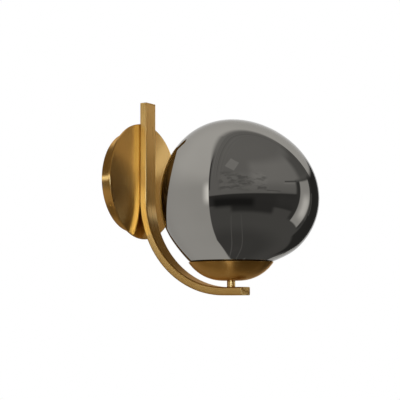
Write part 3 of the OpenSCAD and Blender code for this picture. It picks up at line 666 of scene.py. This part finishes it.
@dataclass
class Bowl:
    """The stem, the spun bowl on it, and the socket and rubber ring that take the globe."""

    flat_r: float = 8 * MM
    wall: float = 1 * MM
    spigot_r: float = 3 * MM
    bore_r: float = 2 * MM
    hole_gap: float = 0.1 * MM
    socket_wall: float = 1.7 * MM
    socket_floor: float = 1.5 * MM
    seal_lift: float = 0.35 * MM
    seal_gap: float = 0.3 * MM
    seal_edge: float = 0.6 * MM
    edge: float = 0.3 * MM
    curve_steps: int = 40
    bowl_facets: int = 192
    socket_facets: int = 96
    stem_facets: int = 64

    def __post_init__(self) -> None:
        """Reads the bowl's place and works out its curve."""
        low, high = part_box("bowl")
        self.axis = Matrix.Translation((0, (low.y + high.y) / 2, 0))
        self.low, self.rim, self.rim_r = low.z, high.z, high.x
        width, depth = self.rim_r - self.flat_r, self.rim - self.low
        self.curve = (width**2 + depth**2) / (2 * depth)
        self.curve_z = self.low + self.curve

    def _skin(self, radius: float) -> list[tuple]:
        """Points of one skin of the bowl, from its flat bottom up to the rim."""
        end = math.degrees(math.asin((self.rim - self.curve_z) / radius))
        return arc((self.flat_r, self.curve_z), radius, -90, end, self.curve_steps)

    def inside(self, radius: float) -> float:
        """Height of the bowl's inner skin at a distance from its axis."""
        reach = self.curve - self.wall
        return self.curve_z - math.sqrt(reach**2 - max(radius - self.flat_r, 0) ** 2)

    def build(self) -> None:
        """Makes the stem, the bowl, the socket and the rubber ring."""
        hole = self.spigot_r + self.hole_gap
        floor = self.low + self.wall
        outer = self._skin(self.curve)
        inner = self._skin(self.curve - self.wall)
        outline = [(hole, self.low), *outer, *reversed(inner), (hole, floor)]
        bowl = lathe(outline, self.bowl_facets, self.axis, self.edge, sharper=30)
        finish_piece("bowl_spun", bowl, BOWL_BRASS, "bowl")
        low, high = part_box("stem")
        arm_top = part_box("arm_front_cap")[1].z
        outline = [
            (self.bore_r, low.z), (self.spigot_r, low.z), (self.spigot_r, arm_top), (high.x, arm_top),
            (high.x, self.low), (self.spigot_r, self.low), (self.spigot_r, high.z), (self.bore_r, high.z),
        ]
        stem = lathe(outline, self.stem_facets, self.axis, self.edge)
        finish_piece("stem_turned", stem, STEM_BRASS, "stem")
        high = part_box("globe_socket")[1]
        bore, deck = high.x - self.socket_wall, floor + self.socket_floor
        outline = [
            (hole, floor), (self.flat_r, floor), (high.x, self.inside(high.x) + self.hole_gap),
            (high.x, high.z), (bore, high.z), (bore, deck), (hole, deck),
        ]
        socket = lathe(outline, self.socket_facets, self.axis, self.edge)
        finish_piece("globe_socket_turned", socket, ALUMINIUM, "globe_socket")
        self._seal()

    def _seal(self) -> None:
        """Makes the rubber ring, which follows the bowl's curve underneath."""
        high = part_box("globe_seal")[1]
        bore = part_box("globe_socket")[1].x + self.seal_gap
        outline = [
            (bore, self.inside(bore) + self.seal_lift), (high.x, self.inside(high.x) + self.seal_lift),
            (high.x, high.z), (bore, high.z),
        ]
        ring = lathe(outline, self.socket_facets, self.axis, self.seal_edge)
        finish_piece("globe_seal_ring", ring, SILICONE, "globe_seal", "globe_seat")


@dataclass
class Globe:
    """The blown glass, which leans out on one side in three soft shoulders, and the collar in its foot."""

    radius: float = 77 * MM
    glass: float = 2.5 * MM
    neck_r: float = 15.5 * MM
    lobe_turn: float = math.radians(-58)
    lobe_shift: float = 7.2 * MM
    lobe_two: float = 1.9 * MM
    lobe_two_tilt: float = math.radians(-7)
    lobe_three: float = 1.8 * MM
    lobe_three_tilt: float = math.radians(-10)
    lobe_fade_share: float = 0.3
    turns: int = 240
    rings: int = 150
    collar_wall: float = 1.7 * MM
    collar_gap: float = 0.5 * MM
    flange: float = 1.2 * MM
    edge: float = 0.3 * MM
    collar_facets: int = 96

    def __post_init__(self) -> None:
        """Reads the globe's place from its foot and from the bowl's rim."""
        self.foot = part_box("globe_glass")[0].z
        low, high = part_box("bowl")
        rise = math.sqrt(self.radius**2 - self.neck_r**2)
        self.centre = Vector((0, (low.y + high.y) / 2, self.foot + rise))
        self.lobe_end = -(self.centre.z - high.z) / self.radius

    def reach(self, way: Vector) -> float:
        """Distance from the globe's middle to its outside.

        Args:
            way: the direction, of length 1.

        Returns:
            The distance.
        """
        side = way.x * math.cos(self.lobe_turn) + way.y * math.sin(self.lobe_turn)
        angle, size = math.atan2(way.z, side), math.hypot(side, way.z)
        share = min(max((way.z - self.lobe_end) / self.lobe_fade_share, 0), 1)
        fade = 1 - (1 - share) ** 3
        two = self.lobe_two * size**2 * math.cos(2 * (angle - self.lobe_two_tilt))
        three = self.lobe_three * size**3 * math.cos(3 * (angle - self.lobe_three_tilt))
        return self.radius + fade * (self.lobe_shift * side + two + three)

    def build(self) -> None:
        """Makes the glass and its collar."""
        bm = bmesh.new()
        bmesh.ops.create_uvsphere(bm, u_segments=self.turns, v_segments=self.rings, radius=1)
        for vert in bm.verts:
            way = vert.co.normalized()
            vert.co = self.centre + way * self.reach(way)
        bmesh.ops.bisect_plane(
            bm, geom=bm.verts[:] + bm.edges[:] + bm.faces[:], plane_co=(0, 0, self.foot), plane_no=UP,
            clear_inner=True, dist=MERGE,
        )
        finish_piece("globe_blown_glass", bm, GLOBE_GLASS, "globe_glass", "globe", self.glass, False)
        low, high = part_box("globe_collar")
        outer = self.neck_r - self.collar_gap
        bore, deck = outer - self.collar_wall, low.z + self.flange
        outline = [
            (bore, low.z), (high.x, low.z), (high.x, deck), (outer, deck), (outer, high.z), (bore, high.z)
        ]
        axis = Matrix.Translation((0, self.centre.y, 0))
        collar = lathe(outline, self.collar_facets, axis, self.edge)
        finish_piece("globe_collar_turned", collar, ALUMINIUM, "globe_collar", "globe")


@dataclass
class Bulb:
    """The small push-in bulb: a ceramic base with two looped pins, a clear glass and the stick in it."""

    edge: float = 0.9 * MM
    glass_wall: float = 0.9 * MM
    pin_r: float = 0.5 * MM
    loop_r: float = 0.9 * MM
    dome_steps: int = 14
    glass_facets: int = 64
    stick_facets: int = 32
    pin_facets: int = 16

    def __post_init__(self) -> None:
        """Reads the bulb's axis."""
        low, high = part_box("bulb_glass")
        self.axis = Matrix.Translation((0, (low.y + high.y) / 2, 0))

    def build(self) -> None:
        """Makes the four pieces."""
        base = block(*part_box("bulb_base"))
        ease_edges(base, self.edge)
        finish_piece("bulb_base_block", base, CERAMIC, "bulb_base", "bulb")
        low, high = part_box("bulb_glass")
        radius, bore, floor = high.x, high.x - self.glass_wall, low.z + self.glass_wall
        middle = (0, high.z - radius)
        outer = [(0, low.z), (radius, low.z), *arc(middle, radius, 0, 90, self.dome_steps)]
        inner = [*arc(middle, bore, 90, 0, self.dome_steps), (bore, floor), (0, floor)]
        skin, hollow = (lathe(outline, self.glass_facets, self.axis) for outline in (outer, inner))
        bmesh.ops.reverse_faces(hollow, faces=hollow.faces)
        glass = joined([skin, hollow])
        finish_piece("bulb_glass_drawn", glass, BULB_GLASS, "bulb_glass", "bulb", eased=False)
        low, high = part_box("bulb_stick")
        outline = [(0, low.z), (high.x, low.z), (high.x, high.z), (0, high.z)]
        stick = lathe(outline, self.stick_facets, self.axis, self.edge)
        finish_piece("bulb_light_stick", stick, PHOSPHOR, "bulb_stick", "bulb", eased=False)
        low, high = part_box("bulb_pins")
        reach = self.loop_r + self.pin_r
        pins = joined(self._pin(y, low.z + reach, high.z) for y in (low.y + reach, high.y - reach))
        finish_piece("bulb_looped_pins", pins, NICKEL, "bulb_pins", "bulb", eased=False)

    def _pin(self, out: float, turn: float, top: float) -> BMesh:
        """Bends one pin: down one side, round a half turn and up the other.

        Args:
            out: where the pin stands along the Y axis.
            turn: the height at which the half turn starts.
            top: the height of both ends.

        Returns:
            The pin in its place.
        """
        bm = bmesh.new()
        place = Matrix.Translation((0, self.loop_r, top))
        bmesh.ops.create_circle(bm, segments=self.pin_facets, radius=self.pin_r, matrix=place)
        leg = Vector((0, 0, top - turn))
        loop = pull(bm, bm.edges[:], -leg)
        bent = bmesh.ops.spin(
            bm, geom=loop, cent=(0, 0, turn), axis=(1, 0, 0), angle=-math.pi, steps=self.pin_facets
        )
        pull(bm, [part for part in bent["geom_last"] if isinstance(part, BMEdge)], leg)
        bmesh.ops.holes_fill(bm, edges=bm.edges)
        bmesh.ops.recalc_face_normals(bm, faces=bm.faces)
        return stand(bm, Matrix.Translation((0, out, 0)))


CARRIED: dict[Finish, tuple[str, ...]] = {
    ZINC: (
        "wall_plate", "arm_fixing_bar", "arm_screws", "arm_washers", "terminal_screws", "block_screws",
        "stem_low_washer", "stem_low_nut", "stem_top_washer", "stem_top_nut", "holder_bracket",
    ),
    NYLON: ("wire_bush", "terminal_block"),
    BARE_BRASS: ("terminal_sleeves", "earth_screw"),
    TINNED: ("earth_ring",),
    EARTH: ("earth_wire",),
    LIVE: ("live_wire",),
    NEUTRAL: ("neutral_wire",),
    CERAMIC: ("holder_body",),
    ALUMINIUM: ("holder_rivets",),
    NICKEL: ("holder_contacts",),
}


def dress_carried(nodes: dict[str, bpy.types.Object]) -> None:
    """Gives each node that stays as the frame has it its finish.

    Args:
        nodes: the frame's node objects by name.
    """
    for finish, names in CARRIED.items():
        for name in names:
            mesh = nodes[name].data
            mesh.materials.clear()
            mesh.materials.append(painted(finish))
            LOG.info("%s keeps its shape, in %s", name, finish.name)


@dataclass(frozen=True)
class Turn:
    """A soft turn from one level to another, while what it reads goes from its start to its end."""

    start: float
    end: float
    first: float = 0.0
    last: float = 1.0

    def of(self, value: Socket) -> dict[str, Socket | float]:
        """Gives what a map takes to turn a value into a level."""
        feeds = {"Value": value, "From Min": self.start, "From Max": self.end}
        return {**feeds, "To Min": self.first, "To Max": self.last}


@dataclass(frozen=True)
class Panel:
    """A flat or a gap of the studio as gloss sees it, in degrees: compass from straight out, and height."""

    left: float
    right: float
    low: float
    high: float
    level: float
    soft: float = 1.5
    lean: float = 0.0
    slope: float = 0.0


@dataclass(frozen=True)
class Rod:
    """A thin pale pole on the studio's floor: the normal of the plane that holds it, and half its width."""

    normal: tuple[float, float, float]
    width: float
    level: float


@dataclass(frozen=True)
class Lamp:
    """A soft square lamp that faces the light: where it hangs, its power in watts and its side."""

    name: str
    place: tuple[float, float, float]
    power: float
    side: float = 1.1

    def hang(self) -> None:
        """Hangs the lamp, which gloss doesn't see."""
        data = bpy.data.lights.new(self.name, "AREA")
        data.size = self.side
        data.energy = self.power
        lamp = bpy.data.objects.new(self.name, data)
        lamp.location = self.place
        lamp.rotation_euler = (-lamp.location).to_track_quat("-Z", "Y").to_euler()
        lamp.visible_glossy = False
        bpy.context.scene.collection.objects.link(lamp)


@dataclass
class Sky(Graph):
    """The world's graph, which starts from the direction looked in. Its angles are in degrees."""

    def __post_init__(self) -> None:
        """Reads the direction."""
        self.way = self.add("TexCoord", output="Generated")
        self.x, self.y, self.z = self.add("SeparateXYZ", [self.way]).node.outputs
        ahead = self.add("Math", [self.y, -1.0], "MULTIPLY")
        turn = self.add("Math", [self.x, ahead], "ARCTAN2")
        self.compass = self.add("Math", [turn], "DEGREES")
        tilt = self.add("Math", [self.z], "ARCSINE")
        self.height = self.add("Math", [tilt], "DEGREES")

    def mask(self, panel: Panel) -> Socket:
        """Marks where a panel lies.

        Args:
            panel: the panel.

        Returns:
            1 inside the panel and 0 outside it.
        """
        across = self.add("Math", [self.height, panel.lean, self.compass], "MULTIPLY_ADD")
        along = self.add("Math", [self.compass, panel.slope, self.height], "MULTIPLY_ADD")
        sides = (
            (across, panel.left, 0), (across, panel.right, 1), (along, panel.low, 0), (along, panel.high, 1)
        )
        inside = 1.0
        for value, edge, first in sides:
            turn = Turn(edge - panel.soft, edge + panel.soft, first, 1 - first)
            side = self.add("MapRange", turn.of(value), **SMOOTH)
            inside = self.add("Math", [inside, side], "MULTIPLY")
        return inside

    def behind(self, level: Socket | float, panels: Iterable[Panel]) -> Socket | float:
        """Puts a level behind panels.

        Args:
            level: the level.
            panels: the panels, of which a later one covers an earlier one.

        Returns:
            The level with the panels.
        """
        for panel in panels:
            level = self.add("Mix", {0: self.mask(panel), 2: level, 3: panel.level})
        return level


@dataclass
class Studio:
    """White cove behind the light, a dim room in front of it, soft lamps, and a pale floor far below."""

    cove_edge: float = 0.2
    cove_bow: float = 0.045
    cove_shelf: Turn = Turn(-0.4, -0.35, 0.0, -0.2)
    cove_corner: float = 1.35
    corner_power: float = 3.0
    floor_rise: float = 0.02
    floor_fold: float = 0.4
    floor_slope: float = 0.37
    floor_end: float = 10.0
    edge_soft: Turn = Turn(0.6, 0.95, 0.012, 0.1)
    edge_turn: Turn = Turn(-1.0, 1.0, 1.0, 0.0)
    cove_levels: Turn = Turn(0.1, 0.5, 0.84, 1.1)
    glow: Panel = Panel(-107, -80, -12, 12, 2.15, soft=7)
    room_level: float = 0.34
    room: tuple[Panel, ...] = (
        Panel(-40, 60, 14, 46, 0.45, soft=8),
        Panel(40, 80, 17, 44, 0.22, soft=7),
        Panel(-182, 182, -95, -18, 0.17, soft=1),
        Panel(-182, 182, -95, -58, 0.12, soft=14),
        Panel(-109.1, -89, 4.9, 21.7, 0.5, soft=0.8, lean=-0.72, slope=0.43),
        Panel(10, 32, 17, 18.5, 0.16, soft=0.5),
        Panel(8, 28, 14.5, 15.5, 0.5, soft=0.4),
        Panel(-20, 0, 4, 5, 0.2, soft=0.5),
        Panel(-120, 31, -10, 1.4, 0.075, soft=1.2, slope=-0.055),
        Panel(-120, 31, -19, -5, 0.075),
        Panel(-70, -8, -29, -12, 0.07, soft=4),
        Panel(-95, -38, -21, -8, 0.03, soft=5),
        Panel(-5, 40, -15, 0, 0.09, soft=7),
    )
    rods: tuple[Rod, ...] = (
        Rod((-0.375, 0.924, 0.07), 0.014, 0.24),
        Rod((0.52, -0.85, 0.086), 0.014, 0.22),
    )
    rod_end: Turn = Turn(-38, -30, 1.0, 0.0)
    clutter: Panel = Panel(-86, -18, 4, 30, 1.0, soft=4)
    clutter_squeeze: tuple[float, float, float] = (1.0, 1.0, 2.4)
    clutter_scale: float = 4.5
    clutter_levels: Turn = Turn(0.36, 0.6, 0.7, 1.12)
    lip: tuple[Turn, Turn, Turn] = (Turn(-0.05, -0.025), Turn(-20, -60), Turn(2, 6))
    lip_level: float = 0.1
    ring_scale: float = 30.0
    ring_levels: Turn = Turn(0.38, 0.6, 0.78, 1.16)
    ring_near: Turn = Turn(-0.4, -0.12)
    ring_high: Turn = Turn(10, 40)
    screens: tuple[Panel, ...] = (
        Panel(61, 99, -36, 18.5, 0.06, soft=2.5),
        Panel(27, 63, -29, 18.5, 0.09, soft=3, lean=-0.2),
        Panel(63.4, 65.6, -12, 6, 0.2, soft=0.6),
        Panel(35, 58, -29.5, 17, 0.75, soft=1.2, lean=-0.2),
        Panel(42, 57, -20, 2, 1.35, soft=6, lean=-0.2),
    )
    satin_level: float = 0.65
    satin: tuple[Panel, ...] = (
        Panel(-182, 182, -95, -58, 0.12, soft=8),
        Panel(100, 190, -95, -12, 0.26, soft=8),
        Panel(-190, -100, -90, 80, 0.14, soft=6),
        Panel(-45, 10, 8, 60, 0.6, soft=10),
        Panel(-142, -102, -45, -12, 0.4, soft=6),
        Panel(-150, -95, 3.4, 9.4, 1.5, soft=2.5),
        Panel(-84, -40, -6, 3, 7.4, soft=3),
        Panel(60, 108, 20, 50, 0.13, soft=5),
        Panel(105, 142, 15, 50, 0.42, soft=8),
        Panel(-81, -55, -85, -15, 0.65, soft=8),
        Panel(-40, 60, -90, -14, 0.06, soft=6),
        Panel(33, 54, 5, 14, 0.42, soft=2.5, lean=-0.2),
        Panel(46, 72, 15.5, 25, 0.05),
        Panel(47, 80, -25, 3.2, 0.08),
        Panel(54, 66, 9, 13, 0.4, soft=2.5),
        Panel(67, 88, 10, 15, 2.9, soft=2),
        Panel(28, 46, -7, 2, 2.8, soft=2.5),
    )
    dim_tint: str = "#ffd7a0"
    dim_levels: Turn = Turn(0.1, 1.6)
    lamp_tint: str = "#cbdeff"
    lamp_levels: Turn = Turn(3.5, 5.5)
    mirror_depth: float = 2.5
    matt_level: float = 0.62
    lamps: tuple[Lamp, ...] = (
        Lamp("lamp_left", (-1.5, -1.3, 1.5), 9),
        Lamp("lamp_right", (1.5, -1.4, 0.9), 6),
    )
    floor_z: float = -0.52
    floor_r: float = 2.8
    floor_facets: int = 128

    def build(self) -> None:
        """Sets the world, the lamps, the floor and the colour view."""
        bpy.context.scene.view_settings.view_transform = "Standard"
        self._world()
        for lamp in self.lamps:
            lamp.hang()
        self._floor()

    def _past_edge(self, sky: Sky) -> Socket:
        """Measures how far a direction lies past the cove's front edge.

        Args:
            sky: the world's graph.

        Returns:
            Less than 0 in the room and more than 0 in the cove.
        """
        add, x, z = sky.add, sky.x, sky.z
        right = add("Math", [x, 0.0], "MAXIMUM")
        rise = add("Math", [z, 0.0], "MAXIMUM")
        fall = add("Math", [z, 0.0], "MINIMUM")
        bow = add("Math", [z, z], "MULTIPLY")
        corner = add("Math", [right, self.corner_power], "POWER")
        corner = add("Math", [corner, rise], "MULTIPLY")
        edge = add("Math", [bow, self.cove_bow, self.cove_edge], "MULTIPLY_ADD")
        shelf = add("MapRange", self.cove_shelf.of(z), **SMOOTH)
        edge = add("Math", [shelf, right, edge], "MULTIPLY_ADD")
        edge = add("Math", [corner, -self.cove_corner, edge], "MULTIPLY_ADD")
        fold = add("Math", [fall, self.floor_fold, x], "MULTIPLY_ADD")
        fold = add("Math", [fold], "ABSOLUTE")
        low = add("Math", [fall, self.floor_rise, rise], "MULTIPLY_ADD")
        low = add("Math", [fold, self.floor_slope, low], "MULTIPLY_ADD")
        low = add("Math", [rise, self.floor_end, low], "MULTIPLY_ADD")
        edge = add("Math", [edge, low], "MINIMUM")
        return add("Math", [sky.y, edge], "SUBTRACT")

    def _room(self, sky: Sky, past: Socket) -> Socket:
        """Lights the dim room: flats and gaps, rods on the floor, clutter, and rings by the cove's edge.

        Args:
            sky: the world's graph.
            past: how far the direction lies past the cove's edge.

        Returns:
            The room's level.
        """
        add = sky.add
        level = sky.behind(self.room_level, self.room)
        for rod in self.rods:
            off = add("VectorMath", [sky.way, rod.normal], "DOT_PRODUCT", output="Value")
            off = add("Math", [off], "ABSOLUTE")
            near = add("MapRange", Turn(0.0, rod.width, 1.0, 0.0).of(off), **SMOOTH)
            end = add("MapRange", self.rod_end.of(sky.height), **SMOOTH)
            near = add("Math", [near, end], "MULTIPLY")
            level = add("Mix", {0: near, 2: level, 3: rod.level})
        squeezed = add("VectorMath", [sky.way, self.clutter_squeeze], "MULTIPLY")
        feeds = {"Vector": squeezed, "Scale": self.clutter_scale, "Detail": 3.0, "Roughness": 0.55}
        clutter = add("MapRange", self.clutter_levels.of(add("TexNoise", feeds)), **SMOOTH)
        share = add("Mix", {0: sky.mask(self.clutter), 2: 1.0, 3: clutter})
        level = add("Math", [level, share], "MULTIPLY")
        lip = 1.0
        for value, turn in zip((past, sky.compass, sky.height), self.lip):
            lip = add("Math", [lip, add("MapRange", turn.of(value), **SMOOTH)], "MULTIPLY")
        level = add("Mix", {0: lip, 2: level, 3: self.lip_level})
        feeds = {"Vector": add("CombineXYZ", [past]), "Scale": self.ring_scale, "Detail": 2.0}
        rings = add("MapRange", self.ring_levels.of(add("TexNoise", feeds)), **SMOOTH)
        near = add("MapRange", self.ring_near.of(past), **SMOOTH)
        high = add("MapRange", self.ring_high.of(sky.height), **SMOOTH)
        near = add("Math", [near, high], "MULTIPLY")
        share = add("Mix", {0: near, 2: 1.0, 3: rings})
        return add("Math", [level, share], "MULTIPLY")

    def _mirrored(self, sky: Sky) -> Socket:
        """Gives what polished glass mirrors: the cove, the room in front of its edge, and the screens.

        Args:
            sky: the world's graph.

        Returns:
            The level.
        """
        past = self._past_edge(sky)
        room = self._room(sky, past)
        cove = sky.add("MapRange", self.cove_levels.of(sky.z), **SMOOTH)
        cove = sky.behind(cove, [self.glow])
        soft = sky.add("MapRange", self.edge_soft.of(sky.z), **SMOOTH)
        inside = sky.add("Math", [past, soft], "DIVIDE")
        inside = sky.add("MapRange", self.edge_turn.of(inside), **SMOOTH)
        return sky.behind(sky.add("Mix", {0: inside, 2: cove, 3: room}), self.screens)

    def _tint(self, sky: Sky, satin: Socket) -> Socket:
        """Colours what satin brass sees: warm where it is dim, then plain, and cool on the brightest lamp.

        Args:
            sky: the world's graph.
            satin: the level that satin brass sees.

        Returns:
            The colour.
        """
        share = sky.add("MapRange", self.dim_levels.of(satin), **SMOOTH)
        tint = sky.add("Mix", {0: share, 6: linear(self.dim_tint), 7: WHITE}, output=2, data_type="RGBA")
        share = sky.add("MapRange", self.lamp_levels.of(satin), **SMOOTH)
        return sky.add("Mix", {0: share, 6: tint, 7: linear(self.lamp_tint)}, output=2, data_type="RGBA")

    def _world(self) -> None:
        """White to the eye and through glass. Gloss sees the studio, matt surfaces an even soft light."""
        world = bpy.data.worlds.new("studio")
        bpy.context.scene.world = world
        world.use_nodes = True
        # The world differs by kind of ray, which a map of its light can't hold, so none is made.
        world.cycles.sampling_method = "NONE"
        world.node_tree.nodes.clear()
        sky = Sky(world.node_tree)
        mirrored = self._mirrored(sky)
        satin = sky.add("Math", [mirrored, self.satin_level], "MULTIPLY")
        satin = sky.behind(satin, self.satin)
        path = sky.add("LightPath").node.outputs
        kinds = ("Glossy", "Camera", "Transmission", "Singular")
        glossy, seen, through, singular = (path[f"Is {kind} Ray"] for kind in kinds)
        early = sky.add("Math", [path["Ray Depth"], self.mirror_depth], "LESS_THAN")
        polished = sky.add("Math", [singular, early], "MULTIPLY")
        gloss = sky.add("Mix", {0: polished, 2: satin, 3: mirrored})
        level = sky.add("Mix", {0: glossy, 2: self.matt_level, 3: gloss})
        direct = sky.add("Math", [seen, through], "MAXIMUM")
        level = sky.add("Mix", {0: direct, 2: level, 3: 1.0})
        plain = sky.add("Math", [direct, polished], "MAXIMUM")
        dulled = sky.add("Math", [glossy, plain], "SUBTRACT", use_clamp=True)
        feeds = {0: dulled, 6: WHITE, 7: self._tint(sky, satin)}
        colour = sky.add("Mix", feeds, output=2, data_type="RGBA")
        light = sky.add("Background", {"Color": colour, "Strength": level})
        sky.add("OutputWorld", {"Surface": light})

    def _floor(self) -> None:
        """Lays a pale painted floor well below the light."""
        bm = bmesh.new()
        place = Matrix.Translation((0, 0, self.floor_z))
        facets, radius = self.floor_facets, self.floor_r
        bmesh.ops.create_circle(bm, cap_ends=True, segments=facets, radius=radius, matrix=place)
        mesh = bpy.data.meshes.new("studio_floor")
        bm.to_mesh(mesh)
        bm.free()
        mesh.materials.append(painted(FLOOR_PAINT))
        floor = bpy.data.objects.new("studio_floor", mesh)
        floor.visible_glossy = False
        bpy.context.scene.collection.objects.link(floor)


@dataclass
class Viewpoint:
    """The photograph's camera: its place, and its heading, rise and roll in degrees."""

    place: Vector = Vector((-0.99408, -0.71066, -0.12605))
    heading: float = 57.7998
    rise: float = 5.0382
    roll: float = -0.19
    lens: float = 105.342
    sensor: float = 36.0

    def build(self) -> None:
        """Makes the camera and sets it as the scene's."""
        data = bpy.data.cameras.new("camera")
        data.lens = self.lens
        data.sensor_width = self.sensor
        camera = bpy.data.objects.new("camera", data)
        turn = Matrix.Rotation(math.radians(-self.heading), 4, "Z")
        tilt = Matrix.Rotation(math.radians(90 + self.rise), 4, "X")
        roll = Matrix.Rotation(math.radians(self.roll), 4, "Z")
        camera.matrix_world = Matrix.Translation(self.place) @ turn @ tilt @ roll
        bpy.context.scene.collection.objects.link(camera)
        bpy.context.scene.camera = camera


def main() -> None:
    """Loads the frame, builds the studio and each sub-assembly, and dresses what is carried over."""
    logging.basicConfig(level=logging.INFO, format="%(name)s: %(message)s")
    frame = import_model()
    Viewpoint().build()
    Studio().build()
    for assembly in (Canopy(), Arm(), Bowl(), Globe(), Bulb()):
        assembly.build()
        LOG.info("%s is in place", type(assembly).__name__)
    dress_carried(frame["nodes"])


if __name__ == "__main__":
    main()
